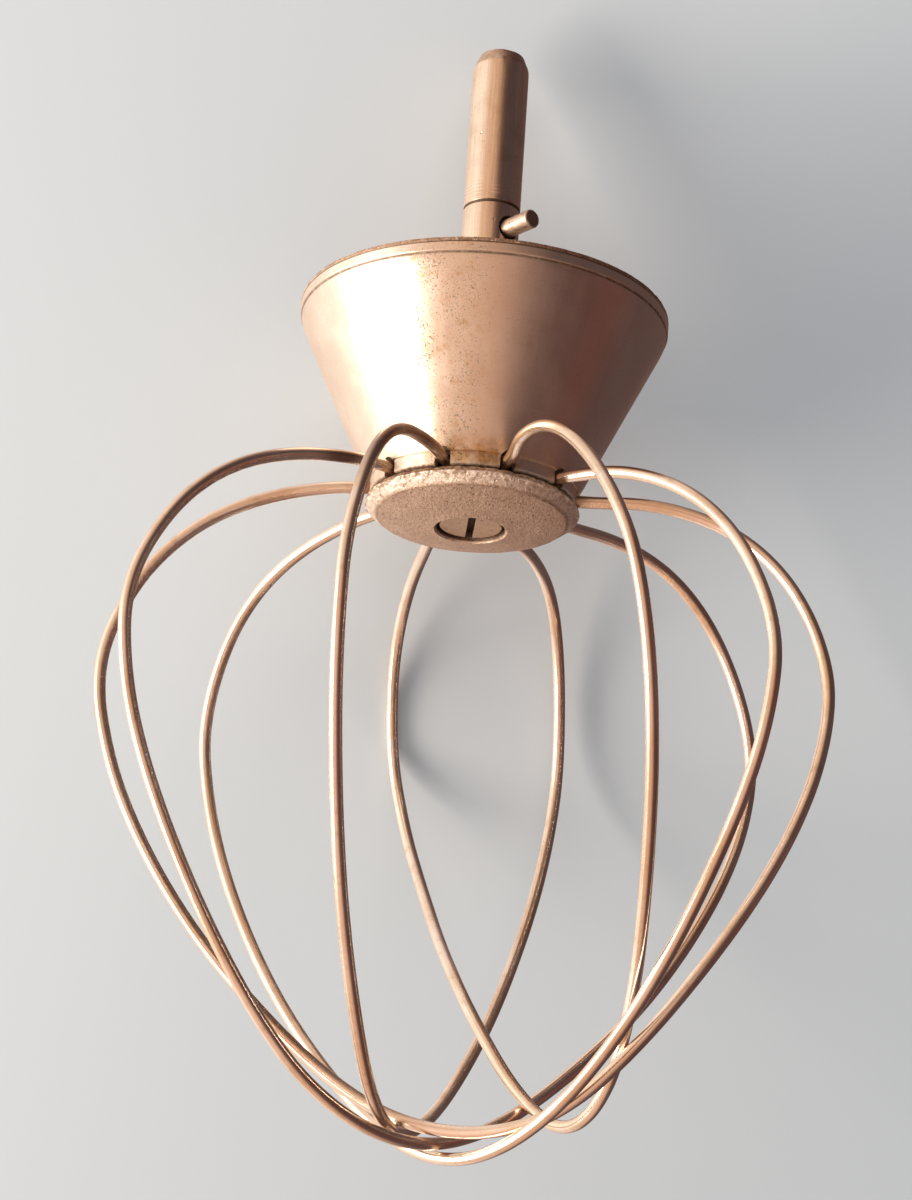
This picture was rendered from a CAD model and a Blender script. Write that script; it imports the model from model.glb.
import math

import bmesh
import bpy
import numpy as np
from mathutils import Matrix, Vector


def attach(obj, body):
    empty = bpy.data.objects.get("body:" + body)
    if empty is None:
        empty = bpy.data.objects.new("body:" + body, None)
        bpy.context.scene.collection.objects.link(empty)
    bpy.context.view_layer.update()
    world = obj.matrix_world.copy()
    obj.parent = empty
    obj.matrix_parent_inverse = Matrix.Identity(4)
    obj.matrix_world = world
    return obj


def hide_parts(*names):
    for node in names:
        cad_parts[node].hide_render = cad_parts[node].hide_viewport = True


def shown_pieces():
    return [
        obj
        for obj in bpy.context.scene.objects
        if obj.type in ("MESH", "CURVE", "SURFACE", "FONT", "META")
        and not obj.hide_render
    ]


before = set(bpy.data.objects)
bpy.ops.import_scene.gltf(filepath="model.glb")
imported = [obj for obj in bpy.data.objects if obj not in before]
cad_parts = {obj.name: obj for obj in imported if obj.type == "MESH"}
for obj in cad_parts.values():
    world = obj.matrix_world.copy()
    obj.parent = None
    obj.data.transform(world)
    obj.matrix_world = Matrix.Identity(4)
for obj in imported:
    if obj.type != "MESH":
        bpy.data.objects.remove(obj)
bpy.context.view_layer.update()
SCENE = bpy.context.scene
MM = 0.001
X, Y, Z = np.eye(3)

# ------------------------------------------------------------------ driving dimensions
SHAFT_R = 4.7625
SHAFT_TOP = 48.0
CROSS_R = 1.27  # holes through the shaft: the drive pin's, and one along X
CROSS_Z = -9.0
PIN_R = 1.5875
PIN_TURN = 40.5  # degrees in plan
PIN_MID = Z * 14.55
HUB_R = 30.45
WIRE_R = 1.016
WIRE_Z = -31.9  # where the wires pass through the notches
WIRE_BEND = 1.8
WIRE_LEG_R = 12.0  # plan radius of the wires' upright ends
NOTCH_COUNT = 10
NOTCH_R = 1.3
CLAMP_BORE = 3.375
LOCATING_R = 11.9  # plan radius of the locating pin's holes
SCREW_R = 3.12
SCREW_HEAD_R = 5.2
SCREW_FACE = -37.5
SCREW_END = -20.4
THREAD_PITCH = 1.27

# Each loop runs between opposite notches. Entry: plan angle of its first notch, then stations
# along the free part: x, y, z of the wire's centre and the wire's direction there.
# The wire between two stations is a pair of arcs.
LOOPS = {
    "wire_loop_left_far": (-126, [
        (-24.624, 18.828, -34.161, -0.74393, 0.60666, -0.28025),
        (-33.858, 26.634, -40.152, -0.59483, 0.52711, -0.60691),
        (-39.794, 32.373, -49.622, -0.33030, 0.37221, -0.86739),
        (-42.536, 36.242, -62.401, -0.05345, 0.16626, -0.98463),
        (-40.977, 36.417, -75.811, 0.21657, -0.09623, -0.97151),
        (-35.480, 32.994, -92.948, 0.37352, -0.25714, -0.89127),
        (-26.034, 26.369, -111.526, 0.48867, -0.35018, -0.79911),
        (-14.454, 17.745, -127.361, 0.57809, -0.45244, -0.67905),
        (-4.171, 9.327, -136.853, 0.68556, -0.57601, -0.44523),
        (4.513, 2.058, -139.821, 0.76908, -0.63880, -0.02124),
        (13.154, -5.090, -137.342, 0.69992, -0.58073, 0.41576),
        (22.648, -13.095, -128.805, 0.55435, -0.47899, 0.68064),
        (32.579, -21.845, -113.650, 0.43189, -0.38559, 0.81535),
        (41.362, -29.691, -93.679, 0.33281, -0.29666, 0.89511),
        (46.034, -33.882, -76.735, 0.15819, -0.14402, 0.97685),
        (46.470, -34.396, -63.886, -0.15075, 0.10675, 0.98279),
        (42.276, -31.271, -50.722, -0.40766, 0.30682, 0.86005),
        (34.999, -25.816, -40.187, -0.62218, 0.46520, 0.62967),
        (25.341, -18.610, -33.711, -0.76179, 0.56793, 0.31167),
    ]),
    "wire_loop_left_near": (-54, [
        (-27.056, -18.854, -34.137, -0.80180, -0.53236, -0.27150),
        (-38.057, -26.185, -40.347, -0.67246, -0.44898, -0.58839),
        (-45.988, -31.461, -50.448, -0.44645, -0.29409, -0.84510),
        (-50.445, -34.315, -63.090, -0.15412, -0.08489, -0.98440),
        (-49.907, -33.540, -76.240, 0.17445, 0.15739, -0.97201),
        (-44.655, -29.267, -93.047, 0.37882, 0.28967, -0.87897),
        (-34.141, -21.555, -113.197, 0.48799, 0.35914, -0.79554),
        (-22.924, -13.253, -128.310, 0.61598, 0.44370, -0.65092),
        (-12.458, -6.008, -135.971, 0.77303, 0.52423, -0.35722),
        (-2.250, 0.978, -137.970, 0.81930, 0.56999, 0.06219),
        (7.883, 8.142, -134.338, 0.72491, 0.51524, 0.45721),
        (20.457, 16.766, -123.486, 0.63080, 0.40712, 0.66056),
        (33.757, 24.897, -107.435, 0.53655, 0.31457, 0.78305),
        (44.140, 30.928, -89.013, 0.40230, 0.23499, 0.88484),
        (49.171, 33.797, -73.293, 0.16994, 0.08659, 0.98164),
        (49.403, 33.583, -60.646, -0.18065, -0.15389, 0.97143),
        (44.520, 29.847, -47.134, -0.44701, -0.32612, 0.83296),
        (36.737, 24.432, -37.358, -0.68779, -0.45663, 0.56430),
        (26.644, 18.101, -32.555, -0.84374, -0.50379, 0.18521),
    ]),
    "wire_loop_side": (-90, [
        (-32.540, 0.209, -34.437, -0.94826, 0.00691, -0.31742),
        (-45.002, 0.304, -41.202, -0.76371, 0.00904, -0.64549),
        (-53.577, 0.526, -51.896, -0.45732, 0.02502, -0.88895),
        (-57.461, 0.983, -64.557, -0.05926, 0.04292, -0.99732),
        (-55.025, 1.735, -78.866, 0.31163, 0.05897, -0.94837),
        (-46.677, 2.948, -95.944, 0.53565, 0.06474, -0.84196),
        (-33.513, 4.213, -112.712, 0.69508, 0.04834, -0.71731),
        (-17.204, 4.352, -127.378, 0.79998, -0.05715, -0.59730),
        (-4.388, 2.359, -134.399, 0.92547, -0.22341, -0.30594),
        (8.306, -1.837, -136.128, 0.92234, -0.38182, 0.05927),
        (19.377, -6.952, -132.911, 0.79156, -0.38995, 0.47051),
        (29.946, -11.553, -123.568, 0.64703, -0.20949, 0.73312),
        (40.259, -12.753, -110.026, 0.56200, 0.05287, 0.82545),
        (51.217, -10.125, -91.169, 0.42211, 0.14622, 0.89468),
        (57.267, -7.344, -73.242, 0.18902, 0.13979, 0.97197),
        (57.629, -5.466, -59.381, -0.19893, 0.12825, 0.97159),
        (52.235, -3.632, -46.024, -0.53640, 0.12367, 0.83485),
        (43.212, -2.089, -36.936, -0.83500, 0.11128, 0.53888),
        (30.627, -0.746, -32.203, -0.98215, 0.08403, 0.16826),
    ]),
    "wire_loop_front_right": (-162, [
        (-8.266, 29.688, -33.394, -0.21506, 0.94776, -0.23559),
        (-10.900, 42.993, -39.299, -0.13076, 0.80978, -0.57197),
        (-11.769, 52.640, -49.314, 0.01633, 0.54551, -0.83795),
        (-10.781, 57.339, -60.630, 0.15981, 0.11216, -0.98076),
        (-8.138, 55.386, -72.560, 0.23516, -0.34797, -0.90753),
        (-3.974, 46.603, -86.804, 0.23259, -0.61408, -0.75419),
        (0.616, 31.341, -101.600, 0.21611, -0.74269, -0.63381),
        (5.699, 20.411, -113.785, 0.37886, -0.52086, -0.76496),
        (14.822, 10.272, -128.940, 0.52218, -0.55452, -0.64795),
        (20.657, 3.587, -133.472, 0.61336, -0.78497, -0.08722),
        (25.023, -2.848, -130.933, 0.39157, -0.69940, 0.59793),
        (28.582, -13.269, -119.341, 0.10400, -0.65330, 0.74992),
        (29.296, -31.419, -100.039, -0.01912, -0.68506, 0.72824),
        (27.912, -47.469, -81.154, -0.10286, -0.57289, 0.81315),
        (25.535, -54.493, -67.217, -0.20317, -0.26979, 0.94124),
        (22.465, -55.088, -56.050, -0.33084, 0.21635, 0.91855),
        (17.141, -49.278, -43.847, -0.38528, 0.55087, 0.74033),
        (11.784, -39.635, -35.340, -0.36346, 0.81997, 0.44220),
        (7.420, -26.720, -31.599, -0.26580, 0.95977, 0.09047),
    ]),
    "wire_loop_front_left": (-18, [
        (-10.042, -29.633, -33.555, -0.28763, -0.92605, -0.24435),
        (-13.615, -41.619, -39.236, -0.22286, -0.78464, -0.57851),
        (-16.110, -50.481, -48.962, -0.14954, -0.51765, -0.84242),
        (-17.761, -55.530, -61.383, -0.07873, -0.16876, -0.98251),
        (-18.053, -54.547, -73.406, 0.00790, 0.26172, -0.96511),
        (-17.464, -47.627, -88.760, 0.05986, 0.51607, -0.85445),
        (-15.420, -34.169, -107.771, 0.11758, 0.63273, -0.76539),
        (-11.761, -17.522, -125.340, 0.18057, 0.72030, -0.66975),
        (-8.297, -5.244, -134.340, 0.27819, 0.87280, -0.40103),
        (-4.922, 4.341, -136.046, 0.35898, 0.92717, 0.10718),
        (-0.652, 14.500, -131.841, 0.34681, 0.77434, 0.52927),
        (5.360, 27.807, -119.399, 0.28489, 0.63963, 0.71394),
        (11.059, 40.553, -102.240, 0.23131, 0.51375, 0.82617),
        (15.582, 50.657, -83.081, 0.16876, 0.36945, 0.91380),
        (17.654, 54.586, -67.735, 0.08258, 0.09005, 0.99251),
        (17.864, 53.053, -55.802, -0.04196, -0.32445, 0.94497),
        (16.670, 46.195, -42.808, -0.12561, -0.60867, 0.78342),
        (14.293, 37.118, -34.731, -0.27231, -0.84199, 0.46572),
        (9.876, 26.165, -31.457, -0.41149, -0.90860, 0.07155),
    ]),
}


# ------------------------------------------------------------------ geometry tools
def azimuth(angle):
    """Level direction at a plan angle in degrees: 0 is -Y, 90 is +X."""
    turn = math.radians(angle)
    return np.array([math.sin(turn), -math.cos(turn), 0.0])


def unit(value):
    return np.clip(value, 0, 1)


def plan_radius(points):
    return np.hypot(points[:, 0], points[:, 1])


def lattice(i, j, k, seed):
    """Repeatable random value between 0 and 1 at each lattice point."""
    code = (i * 374761393 + j * 668265263 + k * 2147483629 + seed * 1274126177) & 0xFFFFFFFF
    code = ((code ^ (code >> 13)) * 1274126177) & 0xFFFFFFFF
    code ^= code >> 16
    return (code & 0xFFFF) / 65535.0


def lumps(points, size, seed):
    """Smooth noise between -1 and 1 at the points, whose lumps are about size wide."""
    scaled = np.asarray(points, float) / size + 1000.0
    cell = np.floor(scaled).astype(np.int64)
    part = scaled - cell
    part = part * part * (3 - 2 * part)
    total = np.zeros(len(scaled))
    for i in (0, 1):
        for j in (0, 1):
            for k in (0, 1):
                weight = (
                    (part[:, 0] if i else 1 - part[:, 0])
                    * (part[:, 1] if j else 1 - part[:, 1])
                    * (part[:, 2] if k else 1 - part[:, 2])
                )
                total += weight * lattice(cell[:, 0] + i, cell[:, 1] + j, cell[:, 2] + k, seed)
    return total * 2 - 1


def rounded(corner, before, after, radius, turn):
    """Arc that rounds a corner, in steps of at most turn degrees."""
    back = (before - corner) / np.linalg.norm(before - corner)
    ahead = (after - corner) / np.linalg.norm(after - corner)
    half = math.acos(max(-1, min(1, float(back @ ahead)))) / 2
    reach = radius / math.tan(half)
    bisector = (back + ahead) / np.linalg.norm(back + ahead)
    centre = corner + bisector * radius / math.sin(half)
    start = corner + back * reach - centre
    stop = corner + ahead * reach - centre
    sweep = math.pi - 2 * half
    steps = max(2, math.ceil(math.degrees(sweep) / turn))
    sign = 1 if start[0] * stop[1] - start[1] * stop[0] > 0 else -1
    arc = []
    for i in range(steps + 1):
        angle = sign * sweep * i / steps
        cos, sin = math.cos(angle), math.sin(angle)
        offset = [start[0] * cos - start[1] * sin, start[0] * sin + start[1] * cos]
        arc.append(centre + np.array(offset))
    return arc


def outline(points, step, turn):
    """Closed outline from (radius, height, rounding, step) entries. The last two are optional:
    the radius that rounds the point, and the largest step on the side that starts there.
    An outline with both ends on the axis is left open between them."""
    count = len(points)
    corners = []
    for i, point in enumerate(points):
        corner = np.array(point[:2], float)
        if len(point) > 2 and point[2]:
            before = np.array(points[i - 1][:2], float)
            after = np.array(points[(i + 1) % count][:2], float)
            corners.append(rounded(corner, before, after, point[2], turn))
        else:
            corners.append([corner])
    path = []
    for i in range(count):
        path += corners[i]
        if i == count - 1 and abs(points[0][0]) < 1e-9 and abs(points[-1][0]) < 1e-9:
            break
        start, stop = corners[i][-1], corners[(i + 1) % count][0]
        longest = points[i][3] if len(points[i]) > 3 else step
        pieces = max(1, math.ceil(np.linalg.norm(stop - start) / longest))
        path += [start + (stop - start) * k / pieces for k in range(1, pieces)]
    kept = [path[0]]
    for point in path[1:]:
        if np.linalg.norm(point - kept[-1]) > 1e-4:
            kept.append(point)
    if np.linalg.norm(kept[0] - kept[-1]) < 1e-4:
        kept.pop()
    return np.array(kept)


def add(name, verts, faces, material=None):
    mesh = bpy.data.meshes.new(name)
    mesh.from_pydata([tuple(v) for v in np.asarray(verts, float) * MM], [], faces)
    mesh.update()
    bm = bmesh.new()
    bm.from_mesh(mesh)
    bmesh.ops.recalc_face_normals(bm, faces=bm.faces)
    bm.to_mesh(mesh)
    bm.free()
    if material is not None:
        mesh.materials.append(material)
    obj = bpy.data.objects.new(name, mesh)
    SCENE.collection.objects.link(obj)
    return obj


def turned(name, profile, count, material, relief):
    """Surface of revolution about Z with count points to a turn. relief(points, angle) is how
    far the surface is raised along its normal."""
    poles = profile[0][0] < 1e-9 and profile[-1][0] < 1e-9
    rows = len(profile)
    following = np.roll(profile, -1, axis=0)
    area = np.sum(profile[:, 0] * following[:, 1] - following[:, 0] * profile[:, 1])
    along = following - profile
    along /= np.maximum(np.linalg.norm(along, axis=1), 1e-9)[:, None]
    outward = np.stack([along[:, 1], -along[:, 0]], 1) * (1 if area > 0 else -1)
    normal = outward + np.roll(outward, 1, axis=0)
    if poles:
        normal[0], normal[-1] = outward[0], outward[-2]
    normal /= np.maximum(np.linalg.norm(normal, axis=1), 1e-9)[:, None]
    angle = np.tile(np.arange(count) * 2 * math.pi / count, rows)

    def placed(radius, z):
        return np.stack([radius * np.cos(angle), radius * np.sin(angle), z], 1)

    radius, z = np.repeat(profile[:, 0], count), np.repeat(profile[:, 1], count)
    lift = np.where(radius < 1e-6, 0, relief(placed(radius, z), angle))
    points = placed(
        radius + np.repeat(normal[:, 0], count) * lift,
        z + np.repeat(normal[:, 1], count) * lift,
    )
    # a row on the axis is a single point
    rings, index, total = [], [], 0
    for i in range(rows):
        size = 1 if profile[i][0] < 1e-9 else count
        rings.append(points[i * count : i * count + size])
        index.append(total + np.arange(count) % size)
        total += size
    faces = []
    for i in range(rows - 1 if poles else rows):
        near, far = index[i], index[(i + 1) % rows]
        for quad in zip(near, np.roll(near, -1), np.roll(far, -1), far):
            faces.append(tuple(dict.fromkeys(int(v) for v in quad)))
    return add(name, np.vstack(rings), faces, material)


def side_faces(rows, count):
    faces = []
    for i in range(rows - 1):
        for k in range(count):
            after = (k + 1) % count
            low, high = i * count, (i + 1) * count
            faces.append((low + k, low + after, high + after, high + k))
    return faces


def ring(centre, first, second, radius, count):
    """Circle of points in the plane of two unit vectors."""
    angle = np.arange(count) * 2 * math.pi / count
    return centre + radius * (np.cos(angle)[:, None] * first + np.sin(angle)[:, None] * second)


def loft(sections):
    """Closed solid through sections with equal numbers of points, as vertices and faces."""
    count, rows = len(sections[0]), len(sections)
    caps = [tuple(range(count))[::-1], tuple((rows - 1) * count + k for k in range(count))]
    return np.vstack(sections), caps + side_faces(rows, count)


def tube(name, path, radius, sides, ends, material, relief):
    """Round wire along a path, its cut ends rounded by the length ends."""
    along = np.gradient(path, axis=0)
    along /= np.linalg.norm(along, axis=1)[:, None]
    across = np.cross(along[0], [0.3, 0.5, 0.8])
    across /= np.linalg.norm(across)
    frames = []
    for way in along:
        across = across - way * (across @ way)
        across /= np.linalg.norm(across)
        frames.append((across, np.cross(way, across)))
    start, stop, first, last = path[0], path[-1], along[0], along[-1]
    centres = [start, start + first * ends * 0.3, start + first * ends, *path[1:-1]]
    centres += [stop - last * ends, stop - last * ends * 0.3, stop]
    taper = [radius - ends, radius - ends * 0.3, radius]
    radii = taper + [radius] * (len(path) - 2) + taper[::-1]
    frames = [frames[0]] * 3 + frames[1:-1] + [frames[-1]] * 3
    verts = np.vstack([
        ring(centre, *axes, size, sides) for centre, size, axes in zip(centres, radii, frames)
    ])
    outward = verts - np.repeat(np.array(centres), sides, axis=0)
    outward /= np.linalg.norm(outward, axis=1)[:, None]
    verts = verts + outward * relief(verts)[:, None]
    rows = len(centres)
    faces = side_faces(rows, sides)
    faces.append(tuple(range(sides))[::-1])
    faces.append(tuple((rows - 1) * sides + k for k in range(sides)))
    return add(name, verts, faces, material)


def cut(obj, *solids):
    """Take solids, each given as vertices and faces, out of an object."""
    verts, faces, total = [], [], 0
    for points, polygons in solids:
        verts.append(points)
        faces += [tuple(i + total for i in polygon) for polygon in polygons]
        total += len(points)
    cutter = add("cutter", np.vstack(verts), faces)
    modifier = obj.modifiers.new("cut", "BOOLEAN")
    modifier.operation = "DIFFERENCE"
    modifier.object = cutter
    modifier.solver = "EXACT"
    bpy.context.view_layer.update()
    graph = bpy.context.evaluated_depsgraph_get()
    made = bpy.data.meshes.new_from_object(obj.evaluated_get(graph), depsgraph=graph)
    obj.modifiers.clear()
    made.name = obj.name
    obj.data = made
    bpy.data.objects.remove(cutter)
    bm = bmesh.new()
    bm.from_mesh(made)
    bmesh.ops.remove_doubles(bm, verts=bm.verts, dist=1e-7)
    bmesh.ops.dissolve_degenerate(bm, edges=bm.edges, dist=1e-7)
    bm.to_mesh(made)
    bm.free()


def stands_for(obj, cad_node, body, sharp):
    """Shade an object smooth up to sharp degrees and put it in the place of a CAD piece."""
    obj.data.polygons.foreach_set("use_smooth", [True] * len(obj.data.polygons))
    obj.data.set_sharp_from_angle(angle=math.radians(sharp))
    obj.data.update()
    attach(obj, body)
    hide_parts(cad_node)


# ------------------------------------------------------------------ shader tools
def empty_tree(owner):
    owner.use_nodes = True
    owner.node_tree.nodes.clear()
    return owner.node_tree


def make_node(tree, kind, inputs=None, **settings):
    """Node with its settings, and inputs that are numbers, RGB colours or signals."""
    made = tree.nodes.new(kind)
    for name, value in settings.items():
        setattr(made, name, value)
    for key, value in (inputs or {}).items():
        if isinstance(value, Signal):
            tree.links.new(value.socket, made.inputs[key])
        else:
            is_colour = isinstance(value, tuple)
            made.inputs[key].default_value = (*value, 1.0) if is_colour else value
    return made


class Signal:
    """A node's output, for use in arithmetic. a | b is the larger of the two."""

    def __init__(self, made, output=0):
        self.socket = made.outputs[output]
        self.tree = made.id_data

    def __mul__(self, other):
        return calc("MULTIPLY", self, other)

    def __add__(self, other):
        return calc("ADD", self, other)

    def __radd__(self, other):
        return calc("ADD", other, self)

    def __sub__(self, other):
        return calc("SUBTRACT", self, other)

    def __rsub__(self, other):
        return calc("SUBTRACT", other, self)

    def __or__(self, other):
        return calc("MAXIMUM", self, other)

    def __abs__(self):
        return calc("ABSOLUTE", self)


def calc(operation, first, second=None, clamp=False):
    tree = first.tree if isinstance(first, Signal) else second.tree
    inputs = {0: first} if second is None else {0: first, 1: second}
    return Signal(make_node(tree, "ShaderNodeMath", inputs, operation=operation, use_clamp=clamp))


def clamped_sum(first, second):
    return calc("ADD", first, second, clamp=True)


def step(value, over, to=(0.0, 1.0), shape="SMOOTHSTEP"):
    """Smooth change between the numbers in to, as the value runs over a range."""
    inputs = {0: value, 1: over[0], 2: over[1], 3: to[0], 4: to[1]}
    return Signal(make_node(value.tree, "ShaderNodeMapRange", inputs, interpolation_type=shape))


def around(value, middle, over):
    """Step by the distance from a middle value."""
    return step(abs(value + -middle), over)


def plan_distance(x, y):
    return calc("SQRT", x * x + y * y)


def plan_turn(x, y):
    """Plan angle in radians: 0 is -Y, growing towards +X."""
    return calc("ARCTAN2", x, y * -1.0)


def vector(x, y, z):
    return Signal(make_node(x.tree, "ShaderNodeCombineXYZ", {0: x, 1: y, 2: z}))


def shifted(point, x, y, z):
    offset = Signal(make_node(point.tree, "ShaderNodeCombineXYZ", {0: x, 1: y, 2: z}))
    inputs = {0: point, 1: offset}
    return Signal(make_node(point.tree, "ShaderNodeVectorMath", inputs, operation="ADD"))


def noise(point, scale=1.0, detail=2.0, rough=0.5, distort=0.0):
    inputs = {"Vector": point, "Scale": scale, "Detail": detail}
    inputs |= {"Roughness": rough, "Distortion": distort}
    return Signal(make_node(point.tree, "ShaderNodeTexNoise", inputs))


def cells(point, scale):
    """Distance from the nearest of many scattered points."""
    inputs = {"Vector": point, "Scale": scale}
    return Signal(make_node(point.tree, "ShaderNodeTexVoronoi", inputs), "Distance")


def mix(mask, first, second):
    inputs = {0: mask, 6: first, 7: second}
    return Signal(make_node(mask.tree, "ShaderNodeMix", inputs, data_type="RGBA"), 2)


def blend(mask, first, second):
    inputs = {0: mask, 2: first, 3: second}
    return Signal(make_node(mask.tree, "ShaderNodeMix", inputs, data_type="FLOAT"))


def coats(colour, *layers):
    """Colour under layers of (mask, colour), the lowest first."""
    for mask, tint in layers:
        colour = mix(mask, colour, tint)
    return colour


def new_finish(name):
    """Empty material, and the piece's own coordinates in millimetres: point, x, y, z."""
    material = bpy.data.materials.new(name)
    tree = empty_tree(material)
    own = Signal(make_node(tree, "ShaderNodeTexCoord"), "Object")
    inputs = {0: own, "Scale": 1 / MM}
    point = Signal(make_node(tree, "ShaderNodeVectorMath", inputs, operation="SCALE"))
    split = make_node(tree, "ShaderNodeSeparateXYZ", {0: point})
    return material, point, *(Signal(split, i) for i in range(3))


def dress(material, colour, rough, bumps, metallic=1.0, brushed=None):
    """Give a material its shader. bumps are (height, depth in millimetres), the lowest first.
    brushed is how strongly highlights stretch round Z."""
    tree = material.node_tree
    inputs = {"Base Color": colour, "Roughness": rough, "Metallic": metallic}
    under = {}
    for height, depth in bumps:
        layer = {"Distance": depth * MM, "Height": height} | under
        under = {"Normal": Signal(make_node(tree, "ShaderNodeBump", layer))}
    inputs |= under
    if brushed is not None:
        tangent = make_node(tree, "ShaderNodeTangent", direction_type="RADIAL", axis="Z")
        inputs |= {"Anisotropic": brushed, "Anisotropic Rotation": 0.25}
        inputs["Tangent"] = Signal(tangent)
    shader = Signal(make_node(tree, "ShaderNodeBsdfPrincipled", inputs))
    make_node(tree, "ShaderNodeOutputMaterial", {0: shader})
    return material


# ------------------------------------------------------------------ finishes
def spun_aluminium():
    """Cone and cover: fine turning lines, faint streaks, dark pits and golden tarnish."""
    material, point, x, y, z = new_finish("spun_aluminium")
    radius, turn = plan_distance(x, y), plan_turn(x, y)
    along = radius + z
    fine = noise(vector(along * 9.0, turn * 2.2, 0.0), detail=3, rough=0.65)
    broad = noise(vector(along * 1.1, turn * 1.2, 3.0))
    streak = noise(vector(turn * 14.0, along * 0.05, 7.0), detail=4, rough=0.6)
    cloud = noise(point, scale=0.14, detail=4, rough=0.6)
    grain = noise(point, scale=5.5, detail=3, rough=0.7)
    # pits: many in front, left of the middle, few elsewhere
    spot = noise(point, scale=3.1, detail=3, rough=0.60)
    patch = noise(point, scale=0.20, detail=4, rough=0.65)
    front = step(turn, over=(-0.62, -0.40)) * step(turn, over=(0.12, -0.14))
    patchy = step(patch, over=(0.36, 0.62), to=(0.25, 1.0))
    limit = 0.737 - patchy * (0.050 + front * 0.112)
    pit = step(spot - limit, over=(-0.010, 0.030))
    speck = step(noise(point, scale=4.2) + front * 0.06, over=(0.64, 0.74))
    # golden tarnish round the notched foot, strongest in front
    foot = step(z, over=(-30.2, -30.95))
    tarnish = step(noise(point, scale=0.45, detail=4, rough=0.6), over=(0.30, 0.62))
    gold = step(z, over=(-27.5, -31.0)) * tarnish
    middle = step(turn, over=(-0.55, -0.25)) * step(turn, over=(0.55, 0.25))
    gold = gold * (0.30 + middle * 0.70)
    gold_noise = noise(point, scale=1.1, detail=4, rough=0.7)
    gold_tint = mix(step(gold_noise, over=(0.38, 0.62)), (0.44, 0.27, 0.12), (0.72, 0.50, 0.25))
    # dirt inside the foot and on its lip
    inside = step(radius, over=(16.74, 16.5)) * step(z, over=(-29.0, -30.0))
    lip = step(z, over=(-32.75, -33.15))
    dirt_patch = step(noise(point, scale=1.3, detail=3), over=(0.25, 0.6), to=(0.5, 1.0))
    dirt = inside | lip * dirt_patch
    residue_noise = noise(point, scale=1.6, detail=4, rough=0.7)
    residue = mix(step(residue_noise, over=(0.40, 0.66)), (0.16, 0.085, 0.045), (0.52, 0.35, 0.22))
    # the seam under the cover, the groove round the cover and the rust above it
    seam_noise = noise(point, scale=1.1, detail=4, rough=0.7)
    seam_patch = step(seam_noise, over=(0.25, 0.6), to=(0.45, 1.0))
    seam = around(z, -2.6, over=(0.34, 0.05)) * seam_patch
    groove = around(z, -0.80, over=(0.22, 0.04)) * step(radius, over=(29.0, 30.0))
    rim = step(z, over=(-1.0, -0.45)) * step(radius, over=(29.2, 30.1))
    ahead = step(turn, over=(-1.5, -0.9)) * step(turn, over=(1.4, 0.9))
    rust_noise = noise(point, scale=1.2, detail=5, rough=0.74)
    rust = rim * step(rust_noise + ahead * 0.12, over=(0.45, 0.57))
    rust_grain = step(noise(point, scale=3.1, detail=3, rough=0.7), over=(0.42, 0.62))
    rust_tint = mix(rust_grain, (0.20, 0.11, 0.065), (0.58, 0.40, 0.27))
    stain = front * step(noise(point, scale=0.50, detail=5, rough=0.75), over=(0.52, 0.66))
    colour = coats(
        mix(step(cloud, over=(0.3, 0.75)), (0.83, 0.72, 0.62), (0.88, 0.79, 0.70)),
        (step(streak, over=(0.42, 0.72), to=(0.0, 0.12)), (0.74, 0.60, 0.48)),
        (step(grain, over=(0.52, 0.80), to=(0.0, 0.30)), (0.55, 0.42, 0.32)),
        (gold * 0.92, gold_tint),
        (speck * 0.55, (0.46, 0.32, 0.20)),
        (stain * 0.60, (0.62, 0.41, 0.20)),
        (pit * 0.78, (0.25, 0.15, 0.085)),
        (seam * 0.80, (0.17, 0.11, 0.07)),
        (groove * 0.75, (0.20, 0.13, 0.085)),
        (rust * 0.85, rust_tint),
        (dirt * 0.93, residue),
    )
    rough = step(streak, over=(0.3, 0.75), to=(0.34, 0.42))
    rough = rough + step(cloud, over=(0.35, 0.7), to=(-0.03, 0.04))
    rough = rough + (pit | rust | (seam | dirt)) * 0.32
    rough = clamped_sum(rough, foot * 0.05)
    metallic = 1.0 - (dirt | pit * 0.5) * 0.8
    bumps = [(fine, 0.010), (broad, 0.030), (grain, 0.012), (pit * -1.0, 0.014)]
    bumps.append((rust * -1.0, 0.06))
    return dress(material, colour, rough, bumps, metallic, brushed=0.35)


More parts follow.
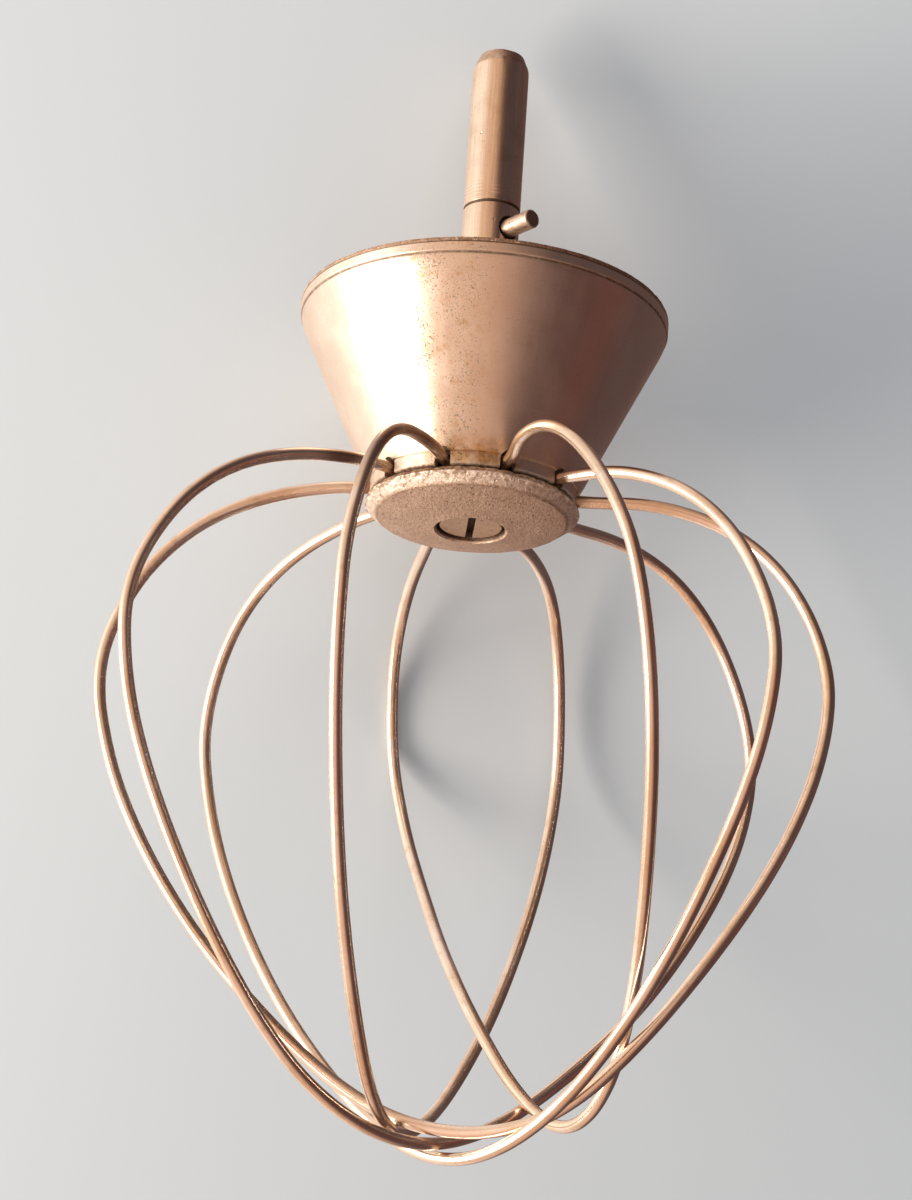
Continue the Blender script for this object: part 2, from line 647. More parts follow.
def cast_aluminium():
    """Clamp disc: matt grainy face, corroded rim with bare bright metal, dirt above the rim."""
    material, point, x, y, z = new_finish("cast_aluminium")
    radius = plan_distance(x, y)
    grain = noise(point, scale=4.2, detail=4, rough=0.72)
    sand = noise(point, scale=1.5, detail=4, rough=0.7)
    cloud = noise(point, scale=0.20, detail=4, rough=0.6)
    fleck = noise(point, scale=2.4, detail=3, rough=0.6)
    scratch = noise(vector(x * 0.25, y * 6.0, 0.0))
    pit = step(cells(shifted(point, 3.1, 1.7, 0.4), scale=1.05), over=(0.20, 0.10))
    pit = pit * step(noise(point, scale=0.35, detail=3), over=(0.52, 0.66))
    # the rim: a bright worn band with dark crevices
    band = step(radius, over=(15.6, 16.1)) * step(z, over=(-36.3, -35.9))
    edge = step(radius, over=(16.6, 17.2)) * step(z, over=(-35.45, -34.95))
    crack = noise(point, scale=1.05, detail=5, rough=0.70, distort=0.2)
    crevice = edge * step(crack, over=(0.48, 0.60), to=(0.0, 0.9))
    crevice = crevice | band * step(crack, over=(0.56, 0.68), to=(0.0, 0.65))
    corner = around(radius, 15.45, over=(0.30, 0.05)) * step(z, over=(-36.6, -36.3))
    corner = corner * step(noise(point, scale=0.8, detail=3), over=(0.36, 0.56))
    above = step(radius, over=(17.55, 17.25)) * step(z, over=(-34.65, -34.45))
    above = above | step(z, over=(-34.40, -34.2))
    bore = step(radius, over=(5.80, 5.60)) * step(z, over=(-38.05, -37.85))
    residue_noise = noise(point, scale=1.6, detail=4, rough=0.7)
    residue = mix(step(residue_noise, over=(0.42, 0.60)), (0.21, 0.090, 0.036), (0.56, 0.33, 0.18))
    colour = coats(
        mix(step(cloud, over=(0.3, 0.75)), (0.65, 0.50, 0.395), (0.765, 0.61, 0.495)),
        (step(grain, over=(0.44, 0.64), to=(0.0, 0.60)), (0.40, 0.285, 0.215)),
        (step(sand, over=(0.50, 0.72), to=(0.0, 0.5)), (0.88, 0.75, 0.65)),
        (step(sand, over=(0.47, 0.32), to=(0.0, 0.5)), (0.43, 0.31, 0.235)),
        (step(fleck, over=(0.56, 0.66), to=(0.0, 0.75)), (0.24, 0.155, 0.11)),
        (band * step(crack, over=(0.62, 0.40), to=(0.25, 0.9)), (0.95, 0.87, 0.78)),
        (pit * 0.7, (0.20, 0.14, 0.10)),
        (corner * 0.45, (0.25, 0.17, 0.12)),
        (crevice * 0.70, (0.36, 0.20, 0.11)),
        (above * 0.92, residue),
        (bore * 0.8, (0.13, 0.08, 0.055)),
    )
    rough = blend(band, step(sand, over=(0.3, 0.75), to=(0.41, 0.54)), 0.38)
    rough = clamped_sum(rough, (crevice | above) * 0.3)
    metallic = 1.0 - (above | crevice * 0.4) * 0.7
    bumps = [(grain, 0.11), (sand, 0.20), (fleck, 0.10), (scratch, 0.010)]
    bumps += [(pit * -1.0, 0.12), (crevice * -1.0, 0.07)]
    return dress(material, colour, rough, bumps, metallic)


def wire_steel():
    """Drawn steel wire, burnished by use, with brown tarnish in patches."""
    material, point, x, y, z = new_finish("wire_steel")
    cloud = noise(point, scale=0.055, detail=3, rough=0.55)
    patch = noise(point, scale=0.30, detail=4, rough=0.65)
    grain = noise(point, scale=4.0, detail=3, rough=0.7)
    speck = step(noise(point, scale=2.6, detail=3, rough=0.6), over=(0.66, 0.74))
    # dirt where the wires leave the notches
    near = step(plan_distance(x, y), over=(19.6, 16.4)) * step(z, over=(-34.2, -33.2))
    # darker wire in front, left of the middle, under the hub
    span = step(x, over=(-4.5, -7.5)) * step(x, over=(-26.0, -21.0))
    arch = step(z, over=(-56.0, -38.0)) * (span * step(y, over=(-13.2, -15.2)))
    colour = coats(
        mix(step(cloud, over=(0.35, 0.7)), (0.96, 0.87, 0.78), (0.81, 0.65, 0.51)),
        (step(patch, over=(0.50, 0.78), to=(0.0, 0.50)), (0.60, 0.44, 0.31)),
        (step(grain, over=(0.55, 0.8), to=(0.0, 0.25)), (0.42, 0.31, 0.23)),
        (speck * 0.25, (0.32, 0.22, 0.15)),
        (arch * step(patch, over=(0.2, 0.55), to=(0.60, 0.90)), (0.27, 0.175, 0.125)),
        (near * step(patch, over=(0.3, 0.6), to=(0.35, 0.85)), (0.22, 0.13, 0.075)),
    )
    rough = clamped_sum(step(patch, over=(0.3, 0.8), to=(0.17, 0.26)), near * 0.12)
    return dress(material, colour, rough, [(grain, 0.003), (patch, 0.02)])


def shaft_steel():
    """Ground steel shaft: lengthwise handling marks, turning lines, tarnish."""
    material, point, x, y, z = new_finish("shaft_steel")
    radius, turn = plan_distance(x, y), plan_turn(x, y)
    turning = noise(vector(z * 11.0, turn * 1.2, 0.0), detail=3, rough=0.7)
    rings = noise(vector(z * 2.2, turn * 0.8, 5.0))
    length = noise(vector(x * 2.6, y * 2.6, z * 0.09), detail=4, rough=0.65)
    cloud = noise(point, scale=0.18, detail=4, rough=0.6)
    grain = noise(point, scale=4.5, detail=3, rough=0.7)
    nick = step(cells(point, scale=0.62), over=(0.16, 0.06))
    nick = nick * step(noise(point, scale=0.6), over=(0.5, 0.62))
    top = step(z, over=(45.2, 45.9))
    top_noise = noise(point, scale=0.9, detail=4, rough=0.7)
    groove = around(z, 19.04, over=(0.36, 0.20))
    scuff = around(z, 21.6, over=(2.2, 0.2)) * step(turning, over=(0.52, 0.66))
    foot = step(z, over=(2.2, 0.2))
    # the countersink of the pin's hole
    sink_height = step(z, over=(11.75, 12.05)) * step(z, over=(17.35, 17.05))
    sink = around(radius, 4.762, over=(0.03, 0.22)) * sink_height
    colour = coats(
        mix(step(length, over=(0.3, 0.75)), (0.90, 0.775, 0.66), (0.78, 0.62, 0.47)),
        (step(cloud, over=(0.45, 0.8), to=(0.0, 0.45)), (0.55, 0.40, 0.29)),
        (step(grain, over=(0.5, 0.8), to=(0.0, 0.30)), (0.38, 0.29, 0.22)),
        (top * step(top_noise, over=(0.35, 0.62), to=(0.45, 0.8)), (0.40, 0.27, 0.19)),
        (nick * 0.6, (0.20, 0.14, 0.11)),
        (scuff * 0.35, (0.78, 0.68, 0.60)),
        (groove * 0.85, (0.07, 0.035, 0.022)),
        (sink * 0.93, (0.06, 0.035, 0.025)),
        (foot * 0.6, (0.20, 0.13, 0.085)),
    )
    rough = step(length, over=(0.3, 0.75), to=(0.12, 0.19)) + top * 0.10
    rough = clamped_sum(rough, (groove | sink) * 0.6)
    scored = around(z, 21.2, over=(1.9, 0.6)) * calc("SINE", z * 9.5)
    bumps = [(turning, 0.006), (scored, 0.018), (rings, 0.020), (length, 0.010)]
    bumps += [(grain, 0.008), (nick * -1.0, 0.05)]
    return dress(material, colour, rough, bumps, brushed=0.3)


def pin_steel():
    """Drive pin: pitted, rubbed bright on the side, dark on the end."""
    material, point, x, y, _ = new_finish("pin_steel")
    way = azimuth(PIN_TURN)
    reach = x * float(way[0]) + y * float(way[1])
    grain = noise(point, scale=3.2, detail=4, rough=0.7)
    spot = step(noise(point, scale=1.3, detail=4, rough=0.7), over=(0.54, 0.66))
    colour = coats(
        mix(grain, (0.86, 0.74, 0.64), (0.56, 0.44, 0.35)),
        (spot * 0.65, (0.34, 0.22, 0.14)),
        (step(reach, over=(10.37, 10.53)) * 0.72, (0.20, 0.16, 0.13)),
        (step(reach, over=(5.9, 4.8)) * 0.75, (0.13, 0.08, 0.055)),
    )
    rough = step(grain, over=(0.3, 0.7), to=(0.34, 0.50))
    return dress(material, colour, rough, [(grain, 0.03), (spot * -1.0, 0.06)])


def screw_steel():
    """Clamp screw: face dulled like the disc, slot and thread dark with dirt."""
    material, point, x, y, z = new_finish("screw_steel")
    radius, turn = plan_distance(x, y), plan_turn(x, y)
    grain = noise(point, scale=4.2, detail=4, rough=0.72)
    sand = noise(point, scale=1.6, detail=4, rough=0.7)
    rings = noise(vector(radius * 6.0, turn * 1.0, 0.0))
    deep = step(z, over=(-37.48, -37.36)) * step(z, over=(-33.6, -33.9))
    side = step(radius, over=(5.02, 5.16)) * step(z, over=(-37.35, -37.1))
    shank = step(z, over=(-34.5, -34.3))
    root = shank * step(radius, over=(3.0, 2.6))
    pit = step(cells(shifted(point, 0.6, 0.25, 0.0), scale=0.55), over=(0.22, 0.12))
    pit = pit * step(z, over=(-37.35, -37.47))
    colour = coats(
        mix(step(sand, over=(0.3, 0.75)), (0.58, 0.44, 0.33), (0.76, 0.61, 0.48)),
        (step(grain, over=(0.42, 0.66), to=(0.0, 0.6)), (0.36, 0.26, 0.19)),
        (pit * 0.45, (0.20, 0.14, 0.10)),
        ((deep | side) * 0.95, (0.05, 0.028, 0.018)),
        (shank * 0.5, (0.42, 0.37, 0.33)),
        (root * 0.7, (0.12, 0.08, 0.05)),
    )
    rough = blend(shank, step(sand, over=(0.3, 0.75), to=(0.46, 0.60)), 0.38)
    return dress(material, colour, rough, [(grain, 0.04), (sand, 0.05), (rings, 0.012)])


def core_steel():
    """Turned steel inside the hub, oiled and stained."""
    material, point, x, y, z = new_finish("core_steel")
    radius, turn = plan_distance(x, y), plan_turn(x, y)
    line = noise(vector(z * 7.0, radius * 7.0, turn), detail=3, rough=0.65)
    cloud = noise(point, scale=0.3, detail=4, rough=0.6)
    grain = noise(point, scale=3.0, detail=3, rough=0.7)
    colour = coats(
        mix(step(cloud, over=(0.35, 0.7)), (0.50, 0.44, 0.39), (0.33, 0.24, 0.17)),
        (step(grain, over=(0.5, 0.8), to=(0.0, 0.5)), (0.20, 0.13, 0.09)),
    )
    rough = step(cloud, over=(0.3, 0.75), to=(0.35, 0.55))
    return dress(material, colour, rough, [(line, 0.02), (grain, 0.02)])


SPUN, CAST, WIRE = spun_aluminium(), cast_aluminium(), wire_steel()
SHAFT, PIN, SCREW, CORE = shaft_steel(), pin_steel(), screw_steel(), core_steel()


# ------------------------------------------------------------------ wires
def arc(start, way, stop, longest=1.3):
    """Points after start on the arc that leaves start along way and ends at stop."""
    chord = stop - start
    off = chord - way * (chord @ way)
    height = np.linalg.norm(off)
    if height < 1e-5:
        steps = max(1, math.ceil(np.linalg.norm(chord) / 1.5))
        return [start + chord * k / steps for k in range(1, steps + 1)]
    side = off / height
    radius = (chord @ chord) / (2 * height)
    angle = 2 * math.atan2(height, chord @ way)
    steps = max(2, math.ceil(radius * angle / longest), math.ceil(math.degrees(angle) / 5))
    turns = [angle * k / steps for k in range(1, steps + 1)]
    return [
        start + way * radius * math.sin(turn) + side * radius * (1 - math.cos(turn))
        for turn in turns
    ]


def arc_pair(start, way, stop, stop_way):
    """Two arcs that leave start along way and reach stop along stop_way."""
    chord, ways = stop - start, way + stop_way
    spread, lean = 2 * (1 - way @ stop_way), chord @ ways
    if spread < 1e-9:
        reach = (chord @ chord) / (4 * (chord @ stop_way))
    else:
        reach = (-lean + math.sqrt(lean * lean + spread * (chord @ chord))) / spread
    meet = (start + stop + (way - stop_way) * reach) / 2
    return arc(start, way, meet) + arc(stop, -stop_way, meet)[::-1][1:] + [stop]


def wire_end(way):
    """Upright leg inside the hub, the bend below it and the run out through the notch."""
    bend_z = WIRE_Z + WIRE_BEND
    leg = [way * WIRE_LEG_R + Z * z for z in np.linspace(-27.3, bend_z, 5)]
    centre = way * (WIRE_LEG_R + WIRE_BEND) + Z * bend_z
    bend = [
        centre - way * WIRE_BEND * math.cos(turn) - Z * WIRE_BEND * math.sin(turn)
        for turn in np.linspace(0, math.pi / 2, 11)[1:]
    ]
    return leg + bend + [way * reach + Z * WIRE_Z for reach in (14.8, 15.8, 17.0)]


def wire_path(notch, rows):
    first_way, last_way = azimuth(notch), azimuth(notch + 180)
    first, last = wire_end(first_way), wire_end(last_way)
    stations = [(first[-1], first_way)]
    for row in rows:
        way = np.array(row[3:], float)
        stations.append((np.array(row[:3], float), way / np.linalg.norm(way)))
    stations.append((last[-1], -last_way))
    path = list(first)
    for station, following in zip(stations[:-1], stations[1:]):
        path += arc_pair(*station, *following)
    return np.array(path + last[-2::-1])


def wire_loop(cad_node, path, seed):
    def relief(points):
        broad = 0.010 * lumps(points, size=5.0, seed=seed)
        return broad + 0.002 * lumps(points, size=2.2, seed=seed + 7)

    name = cad_node + "_drawn"
    wire = tube(name, path, WIRE_R, sides=24, ends=0.28, material=WIRE, relief=relief)
    stands_for(wire, cad_node, "hub", sharp=60.0)


# ------------------------------------------------------------------ drive shaft and pin
SHAFT_OUTLINE = [
    (0, -14.0, 0, 1.2),
    (SHAFT_R - 0.5, -14.0),
    (SHAFT_R, -13.5, 0, 1.5),
    (SHAFT_R, 18.72, 0.08),
    (SHAFT_R - 0.30, 19.00, 0.06),
    (SHAFT_R, 19.34, 0.10, 0.7),
    (SHAFT_R, 45.45, 1.2, 0.3),
    (SHAFT_R - 1.1, SHAFT_TOP, 0.8, 0.5),
    (0, SHAFT_TOP),
]
# the pin's hole and its countersink: radius, distance from the shaft's axis
PIN_HOLE = [(CROSS_R, -8.0), (CROSS_R, 3.98), (1.688, 4.0), (2.45, 5.0), (2.6, 8.0)]
# the pin: distance from the shaft's axis, radius
PIN_STATIONS = [
    (-4.4, 1.10), (-4.25, 1.25), (4.04, 1.25), (4.06, 1.26), (4.10, PIN_R),
    *((reach, PIN_R) for reach in np.linspace(4.8, 10.05, 20)),
    (10.2, PIN_R), (10.29, 1.56), (10.40, 1.47), (10.48, 1.37), (10.53, 1.24), (10.55, 1.0),
    (10.55, 0.5),
]


def pin_ring(radius, reach, count):
    way = azimuth(PIN_TURN)
    return ring(PIN_MID + way * reach, np.cross(Z, way), Z, radius, count)


def shaft_relief(points, _):
    z = points[:, 2]
    edge = np.exp(-(((z - 45.6) / 0.9) ** 2))
    wear = 0.10 * lumps(points, size=2.6, seed=3) - 0.05 + 0.04 * lumps(points, size=0.9, seed=4)
    top = unit((z - 46.5) / 0.8) * 0.05 * lumps(points, size=1.4, seed=5)
    return edge * wear + top + 0.006 * lumps(points, size=3.0, seed=6)


def drive_shaft():
    profile = outline(SHAFT_OUTLINE, step=0.5, turn=10)
    shaft = turned("drive_shaft_ground", profile, 144, SHAFT, shaft_relief)
    cut(shaft, loft([pin_ring(radius, reach, 64) for radius, reach in PIN_HOLE]))
    cut(shaft, loft([ring(X * x + Z * CROSS_Z, Y, Z, CROSS_R, 40) for x in (-9.0, 9.0)]))
    stands_for(shaft, "drive_shaft", "hub", sharp=30.0)


def drive_pin():
    way = azimuth(PIN_TURN)
    verts, faces = loft([pin_ring(radius, reach, 56) for reach, radius in PIN_STATIONS])
    reach = (verts - PIN_MID) @ way
    outward = verts - (PIN_MID + np.outer(reach, way))
    outward /= np.linalg.norm(outward, axis=1)[:, None]
    worn = 0.018 * lumps(verts, size=1.1, seed=41) + 0.010 * lumps(verts, size=0.5, seed=42)
    worn = np.where(reach > 4.09, worn, 0)
    end = unit((reach - 10.25) / 0.3) * 0.05 * lumps(verts, size=0.8, seed=43)
    verts = verts + outward * worn[:, None] + np.outer(np.minimum(end, 0.0), way)
    stands_for(add("drive_pin_worn", verts, faces, PIN), "drive_pin", "hub", 38.0)


# ------------------------------------------------------------------ hub
COVER_UNDER = -1.2
COVER_FOOT = -2.45
COVER_OUTLINE = [
    (SHAFT_R + 0.05, COVER_UNDER, 0, 1.5),
    (SHAFT_R + 0.05, 0, 0.12, 1.0),
    (HUB_R, 0, 0.35, 0.2),
    (HUB_R, -0.70, 0, 0.06),
    (HUB_R - 0.18, -0.80, 0, 0.06),
    (HUB_R, -0.90, 0, 0.25),
    (HUB_R, COVER_FOOT, 0.3, 0.3),
    (HUB_R - 1.1, COVER_FOOT, 0, 0.5),
    (HUB_R - 1.1, COVER_UNDER, 0, 1.6),
]

# the cone's slanting side: its radius at one height and the change per millimetre of height
CONE_Z, CONE_R, CONE_SLOPE = -6, 28.656, 0.4621
CONE_TOP = -1.22
CONE_NECK = HUB_R - 1.15  # inside the cover
CONE_INNER = CONE_NECK - 1.5
CONE_WALL = 1.75  # measured level
FOOT_Z = -33.2
FOOT_R = 16.85


def cone_r(z):
    return CONE_R + CONE_SLOPE * (z - CONE_Z)


CONE_OUTLINE = [
    (CONE_NECK, CONE_TOP, 0, 0.7),
    (CONE_NECK, -2.6, 0, 0.4),
    (HUB_R - 0.22, -2.6, 0, 0.2),
    (HUB_R - 0.22, -3.0, 5.0, 0.30),
    (cone_r(-30.9), -30.9, 0.12, 0.12),
    (FOOT_R, -31.02, 0, 0.25),
    (FOOT_R, FOOT_Z, 0.3, 0.45),
    (15.0, FOOT_Z, 0.15, 1.0),
    (15.0, -26.6, 0, 1.8),
    (8.05, -26.6, 0, 1.0),
    (8.05, -25.0, 0, 2.5),
    (cone_r(-25.0) - CONE_WALL, -25.0, 1.0, 1.8),
    (CONE_INNER, (CONE_INNER + CONE_WALL - CONE_R) / CONE_SLOPE + CONE_Z, 3.0, 1.5),
    (CONE_INNER, CONE_TOP, 0, 0.6),
]


def cover_relief(points, _):
    outside = unit((plan_radius(points) - 29.3) / 0.8)
    upper = outside * unit((points[:, 2] + 0.75) / 0.35)
    eaten = lumps(points, size=1.5, seed=11) + 0.5 * lumps(points, size=0.7, seed=12)
    eaten = unit(eaten - 0.15)
    some = np.clip(lumps(points, size=9.0, seed=13) + 0.55, 0.1, 1)
    wave = 0.05 * lumps(points, size=14.0, seed=14) * outside
    return -0.22 * upper * eaten * some + 0.012 * lumps(points, size=2.0, seed=15) + wave * 0.4


def hub_cover():
    profile = outline(COVER_OUTLINE, step=0.5, turn=12)
    cover = turned("hub_cover_spun", profile, 512, SPUN, cover_relief)
    stands_for(cover, "hub_cover", "hub", sharp=40.0)


def cone_relief(points, angle):
    z = points[:, 2]
    outer = unit((plan_radius(points) - cone_r(z) + 1.0) / 0.6)
    flow = np.stack([12 * np.cos(angle), 12 * np.sin(angle), z * 0.10], 1)
    wave = 0.020 * lumps(flow, size=3.0, seed=31) + 0.012 * lumps(points, size=6.0, seed=32)
    dents = -0.05 * unit(lumps(points, size=3.4, seed=33) - 0.55)
    pits = -0.05 * unit(lumps(points, size=0.62, seed=34) - 0.62)
    pits = pits * unit(lumps(points, size=7.0, seed=35) + 0.4)
    low = unit((-30.7 - z) / 0.4)
    eaten = -0.09 * low * unit(lumps(points, size=1.1, seed=36) + 0.1)
    return outer * (wave + dents + pits + eaten)


def notch(angle):
    """Solid that cuts a round-topped notch through the cone's foot."""
    way = azimuth(angle)
    side = np.cross(Z, way)
    section = [side * -NOTCH_R + Z * -34.5, side * NOTCH_R + Z * -34.5]
    for turn in np.linspace(0, math.pi, 15):
        section.append(side * NOTCH_R * math.cos(turn) + Z * (-31.6 + NOTCH_R * math.sin(turn)))
    return loft([np.array(section) + way * reach for reach in (14.2, 19.2)])


def locating_hole(radius, low, high):
    centre = azimuth(0) * LOCATING_R
    return loft([ring(centre + Z * z, X, Y, radius, 32) for z in (low, high)])


def hub_cone():
    profile = outline(CONE_OUTLINE, step=0.6, turn=6)
    cone = turned("hub_cone_spun", profile, 540, SPUN, cone_relief)
    notches = [notch(18 + 360 // NOTCH_COUNT * i) for i in range(NOTCH_COUNT)]
    cut(cone, *notches, locating_hole(radius=1.01, low=-27.6, high=-24.0))
    stands_for(cone, "hub_cone", "hub", sharp=35.0)


# ------------------------------------------------------------------ clamp disc
DISC_OUTLINE = [
    (CLAMP_BORE, -31.1, 0, 1.2),
    (10.1, -31.1, 0.4, 0.7),
    (10.1, -33.57, 0, 0.5),
    (10.8, -33.57, 0, 0.4),
    (10.8, -32.97, 0.1, 0.8),
    (14.6, -32.97, 0.2, 0.3),
    (14.8, -33.36, 0, 0.35),
    (16.5, -33.42, 0.3, 0.2),
    (17.05, -34.15, 0.3, 0.2),
    (17.69, -34.49, 0.22, 0.2),
    (15.47, -36.20, 0.4, 0.24),
    (11.5, -37.22, 12.0, 0.25),
    (5.95, -38.15, 0.12, 0.12),
    (5.55, -37.75, 0.08, 0.4),
    (5.55, -33.4, 0, 0.7),
    (CLAMP_BORE, -33.4, 0, 0.8),
]


def disc_relief(points, _):
    radius, z = plan_radius(points), points[:, 2]
    rim, edge = unit((radius - 15.3) / 0.5), unit((radius - 16.7) / 0.5)
    face = unit((-36.0 - z) / 0.3) * unit((radius - 6.0) / 0.5)
    eaten = lumps(points, size=1.3, seed=51) + 0.55 * lumps(points, size=0.6, seed=52)
    lift = -0.24 * edge * np.clip(eaten - 0.05, 0, 1.2)
    lift -= 0.07 * rim * unit(lumps(points, size=1.0, seed=53))
    lift += 0.05 * rim * lumps(points, size=2.6, seed=57)
    grain = 0.014 * lumps(points, size=0.7, seed=54)
    lift += face * (grain + 0.025 * lumps(points, size=3.5, seed=55))
    lift -= 0.06 * face * unit(lumps(points, size=0.8, seed=56) - 0.60)
    # uneven dirt above the rim
    packed = unit((radius - 15.6) / 0.5) * unit((z + 34.35) / 0.2)
    dirt = 0.22 * lumps(points, size=1.0, seed=58) + 0.12 * lumps(points, size=0.5, seed=59)
    return lift - packed * np.clip(dirt + 0.02, 0, 0.4)


def clamp_disc():
    profile = outline(DISC_OUTLINE, step=0.5, turn=8)
    disc = turned("clamp_disc_cast", profile, 432, CAST, disc_relief)
    cut(disc, locating_hole(radius=1.05, low=-35.7, high=-32.0))
    stands_for(disc, "clamp_disc", "clamp", sharp=35.0)


# ------------------------------------------------------------------ clamp screw
SCREW_OUTLINE = [
    (0, SCREW_FACE, 0, 0.35),
    (SCREW_HEAD_R, SCREW_FACE, 0.35, 0.6),
    (SCREW_HEAD_R, -34.42, 0.12, 0.7),
    (SCREW_R, -34.42, 0, 0.09),
    (SCREW_R, -21.1, 0, 0.2),
    (2.42, SCREW_END, 0, 0.6),
    (0, SCREW_END),
]
SLOT_TURN = 2.5  # degrees from Y
# section of the slot: distance from its middle, height
SLOT = [
    (-0.64, -38.6), (0.64, -38.6), (0.64, SCREW_FACE), (0.575, -37.40),
    (0.575, -36.20), (-0.575, -36.20), (-0.575, -37.40), (-0.64, SCREW_FACE),
]


def screw_relief(points, angle):
    radius, z = plan_radius(points), points[:, 2]
    turn = ((z - THREAD_PITCH * angle / (2 * math.pi)) / THREAD_PITCH) % 1.0
    height = unit((1 - np.abs(2 * turn - 1) - 0.10) / 0.72)
    fade = unit((z + 33.7) / 0.5) * unit((-20.35 - z) / 0.7)
    thread = np.where((z > -33.7) & (radius > 2.2), -0.62 * (1 - height) * fade, 0)
    worn = 0.012 * lumps(points, size=0.7, seed=61) + 0.012 * lumps(points, size=2.0, seed=62)
    return thread + np.where((z < -37.3) & (radius < 5.1), worn, 0)


def clamp_screw():
    profile = outline(SCREW_OUTLINE, step=0.5, turn=10)
    screw = turned("clamp_screw_slotted", profile, 96, SCREW, screw_relief)
    turn = math.radians(SLOT_TURN)
    across = np.array([math.cos(turn), math.sin(turn), 0])
    along = np.array([-math.sin(turn), math.cos(turn), 0])
    section = np.array([across * x + Z * z for x, z in SLOT])
    cut(screw, loft([section + along * reach for reach in (-8.0, 8.0)]))
    stands_for(screw, "clamp_screw", "screw", sharp=30.0)


# ------------------------------------------------------------------ parts kept from the CAD
KEPT = ("core_pin", "hub_core", "cover_ring", "wire_seat_ring", "locating_pin", "lock_washer")


def finish_kept(cad_node):
    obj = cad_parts[cad_node]
    if not obj.data.materials:
        obj.data.materials.append(CORE)
    for slot in obj.material_slots:
        slot.material = CORE


# ------------------------------------------------------------------ floor
# The whisk lies on its side: the hub's rim and the cage rest on one plane behind them.
FLOOR_NORMAL = np.array([0.0, -0.9107, -0.4131])
FLOOR_HALF = 5.0  # metres
# glow of the floor in reflections, from the ray's side towards +X to -X: position, colour
FLOOR_GLOW = [
    (0.0, (1.35, 1.22, 1.08)), (0.14, (1.12, 0.97, 0.84)), (0.24, (0.98, 0.79, 0.67)),
    (0.38, (0.96, 0.77, 0.66)), (0.50, (0.56, 0.41, 0.35)), (0.59, (0.24, 0.160, 0.138)),
    (0.70, (0.12, 0.076, 0.070)), (1.0, (0.095, 0.062, 0.060)),
]


def ramp(value, stops):
    made = make_node(value.tree, "ShaderNodeValToRGB", {0: value})
    elements = made.color_ramp.elements
    for i, (position, colour) in enumerate((stops[0], stops[-1])):
        elements[i].color = (*colour, 1)
        elements[i].position = position
    for position, colour in stops[1:-1]:
        elements.new(position).color = (*colour, 1)
    return Signal(made)


def mix_shader(mask, first, second):
    return Signal(make_node(mask.tree, "ShaderNodeMixShader", {0: mask, 1: first, 2: second}))


def lowest_along(normal):
    lowest = 1e9
    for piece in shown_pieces():
        places = np.zeros(len(piece.data.vertices) * 3)
        piece.data.vertices.foreach_get("co", places)
        lowest = min(lowest, float((places.reshape(-1, 3) @ normal).min()))
    return lowest


def floor_paper():
    """Paper, clear from behind; reflections see a glow that changes from side to side."""
    paper = bpy.data.materials.new("floor_paper")
    tree = empty_tree(paper)
    paper.cycles.emission_sampling = "NONE"
    geometry = make_node(tree, "ShaderNodeNewGeometry")
    split = make_node(tree, "ShaderNodeSeparateXYZ", {0: Signal(geometry, "Incoming")})
    across = step(Signal(split), over=(1.0, -1.0), shape="LINEAR")
    glow = make_node(tree, "ShaderNodeEmission", {"Color": ramp(across, FLOOR_GLOW)})
    diffuse = make_node(tree, "ShaderNodeBsdfDiffuse", {"Color": (0.60, 0.63, 0.66)})
    glossy = Signal(make_node(tree, "ShaderNodeLightPath"), "Is Glossy Ray")
    face = mix_shader(glossy, Signal(diffuse), Signal(glow))
    clear = Signal(make_node(tree, "ShaderNodeBsdfTransparent"))
    both = mix_shader(Signal(geometry, "Backfacing"), face, clear)
    make_node(tree, "ShaderNodeOutputMaterial", {0: both})
    return paper


def make_floor():
    normal = FLOOR_NORMAL / np.linalg.norm(FLOOR_NORMAL)
    side = np.cross(normal, X)
    middle = Z * -0.06
    middle = middle + normal * (lowest_along(normal) - middle @ normal)
    corners = [
        middle + X * i * FLOOR_HALF + side * j * FLOOR_HALF
        for i, j in ((-1, -1), (1, -1), (1, 1), (-1, 1))
    ]
    mesh = bpy.data.meshes.new("floor")
    mesh.from_pydata([tuple(corner) for corner in corners], [], [(0, 1, 2, 3)])
    mesh.update()
    if np.array(mesh.polygons[0].normal) @ normal < 0:
        mesh.flip_normals()
    floor = bpy.data.objects.new("floor", mesh)
    SCENE.collection.objects.link(floor)
    floor.data.materials.append(floor_paper())


# ------------------------------------------------------------------ light
# surroundings in reflections, from -X to +X: position, colour
LOW_GLOW = [
    (0.0, (1.35, 1.20, 1.04)), (0.10, (1.10, 0.90, 0.74)), (0.18, (0.91, 0.62, 0.47)),
    (0.26, (0.87, 0.53, 0.39)), (0.34, (0.76, 0.48, 0.34)), (0.43, (0.85, 0.56, 0.39)),
    (0.50, (0.69, 0.41, 0.28)), (0.58, (0.62, 0.355, 0.244)), (0.65, (0.45, 0.28, 0.22)),
    (0.73, (0.15, 0.088, 0.080)), (0.82, (0.125, 0.070, 0.064)), (0.90, (0.105, 0.054, 0.049)),
    (0.975, (0.115, 0.054, 0.048)), (1.0, (0.23, 0.068, 0.056)),
]
# what stands higher is darker beside the light, so upright round metal turns dark more quickly
HIGH_GLOW = [
    (0.0, (1.55, 1.45, 1.32)), (0.08, (1.24, 1.09, 0.97)), (0.20, (0.93, 0.66, 0.49)),
    (0.43, (0.71, 0.455, 0.31)), (0.53, (0.52, 0.33, 0.225)), (0.62, (0.21, 0.125, 0.094)),
    (0.72, (0.095, 0.062, 0.056)), (0.92, (0.078, 0.058, 0.062)), (1.0, (0.078, 0.060, 0.068)),
]


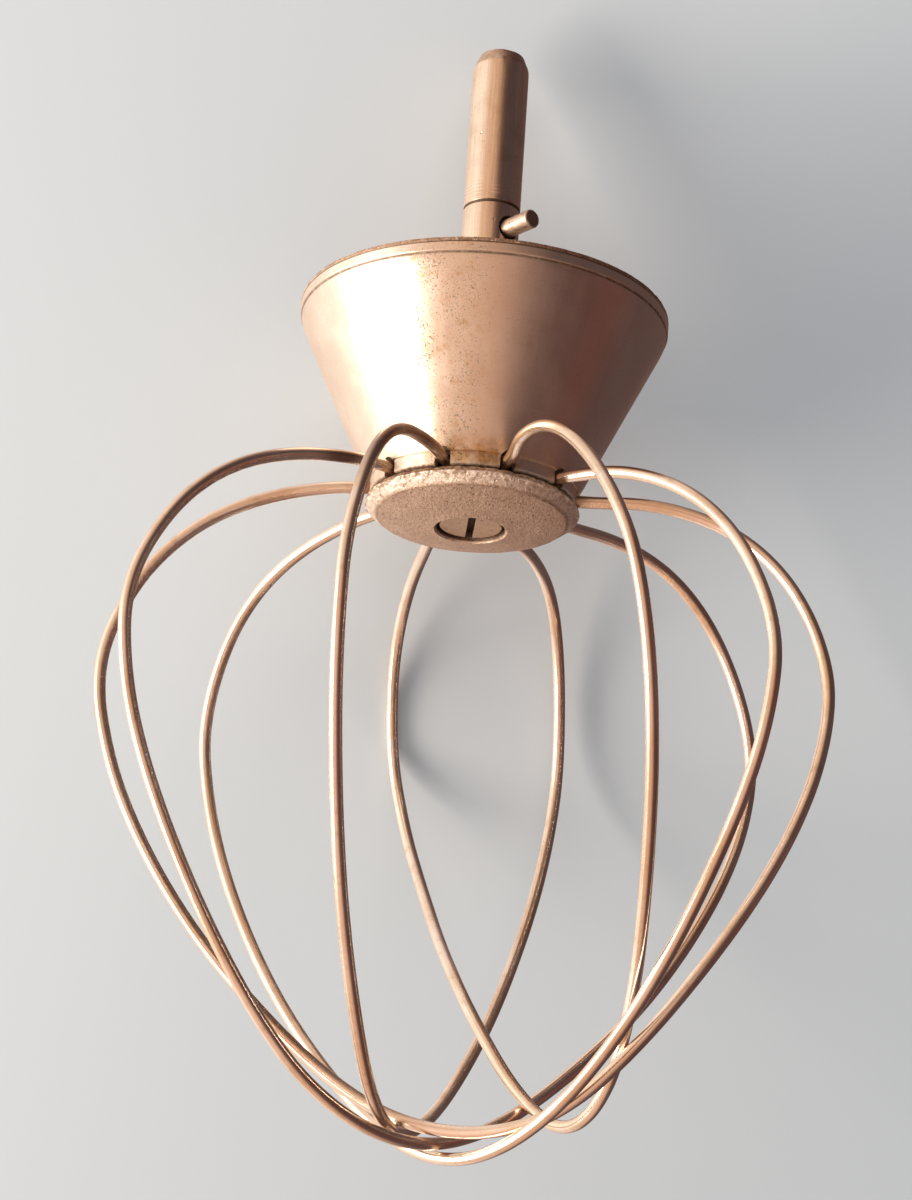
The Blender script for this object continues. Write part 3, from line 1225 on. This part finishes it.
def make_world():
    """Studio: one look for reflections, a soft light for the rest, grey for the camera."""
    world = bpy.data.worlds.new("studio")
    SCENE.world = world
    tree = empty_tree(world)
    world.cycles.sampling_method = "NONE"
    way = Signal(make_node(tree, "ShaderNodeTexCoord"), "Generated")
    split = make_node(tree, "ShaderNodeSeparateXYZ", {0: way})
    across = step(Signal(split, 0), over=(-1.0, 1.0), shape="LINEAR")
    rise = step(Signal(split, 2), over=(0.10, 0.26), shape="LINEAR")
    looks = {0: rise, 1: ramp(across, LOW_GLOW), 2: ramp(across, HIGH_GLOW)}

    def background(colour, strength=1.0):
        inputs = {"Color": colour, "Strength": strength}
        return Signal(make_node(tree, "ShaderNodeBackground", inputs))

    shine = background(Signal(make_node(tree, "ShaderNodeMixRGB", looks)))
    soft = background((0.93, 0.95, 1.0), strength=0.42)
    seen = background((0.62, 0.64, 0.67))
    rays = make_node(tree, "ShaderNodeLightPath")
    lit = mix_shader(Signal(rays, "Is Glossy Ray"), soft, shine)
    shown = mix_shader(Signal(rays, "Is Camera Ray"), lit, seen)
    make_node(tree, "ShaderNodeOutputWorld", {0: shown})


def panel(name, place, target, size, watts, colour):
    """Rectangular lamp that faces its target. Places and size are in metres."""
    data = bpy.data.lights.new(name, "AREA")
    data.shape = "RECTANGLE"
    data.size, data.size_y = size
    data.energy = watts
    data.color = colour
    lamp = bpy.data.objects.new(name, data)
    SCENE.collection.objects.link(lamp)
    lamp.location = place
    lamp.rotation_mode = "QUATERNION"
    lamp.rotation_quaternion = (Vector(target) - Vector(place)).to_track_quat("-Z", "Y")
    return lamp


def make_lights():
    panel(
        "window", place=(-0.63, -0.21, -0.24), target=(0, 0, -0.04),
        size=(0.34, 0.55), watts=6.6, colour=(1.0, 0.90, 0.78),
    )
    overhead = panel(
        "overhead", place=(-0.05, -0.80, 0.35), target=(0, 0, -0.06),
        size=(0.70, 0.50), watts=2.6, colour=(1.0, 0.95, 0.89),
    )
    overhead.visible_glossy = False


# ------------------------------------------------------------------ camera
def make_camera():
    """In front and below, 0.57 m away, looking almost square onto the floor."""
    right = Vector((0.99776967, -0.01945103, 0.06385413))
    up = Vector((-0.0666901, -0.33132794, 0.94115579))
    look = Vector((-0.00285021, 0.94331514, 0.33188616))
    place = (0.0, -0.52155282, -0.23365552)
    camera = bpy.data.objects.new("camera", bpy.data.cameras.new("camera"))
    SCENE.collection.objects.link(camera)
    turn = Matrix((right, up, -look)).transposed()
    camera.matrix_world = Matrix.Translation(place) @ turn.to_4x4()
    camera.data.sensor_width = 36.0
    camera.data.sensor_fit = "AUTO"
    camera.data.lens = 103.0665
    camera.data.clip_start, camera.data.clip_end = 0.01, 50.0
    SCENE.camera = camera
    SCENE.view_settings.view_transform = "Standard"
    SCENE.view_settings.look = "None"


# ------------------------------------------------------------------ build
for i, (cad_node, (first_notch, rows)) in enumerate(LOOPS.items()):
    wire_loop(cad_node, wire_path(first_notch, rows), seed=20 + i)
drive_shaft()
drive_pin()
hub_cover()
hub_cone()
clamp_disc()
clamp_screw()
for cad_node in KEPT:
    finish_kept(cad_node)
make_floor()
make_world()
make_lights()
make_camera()
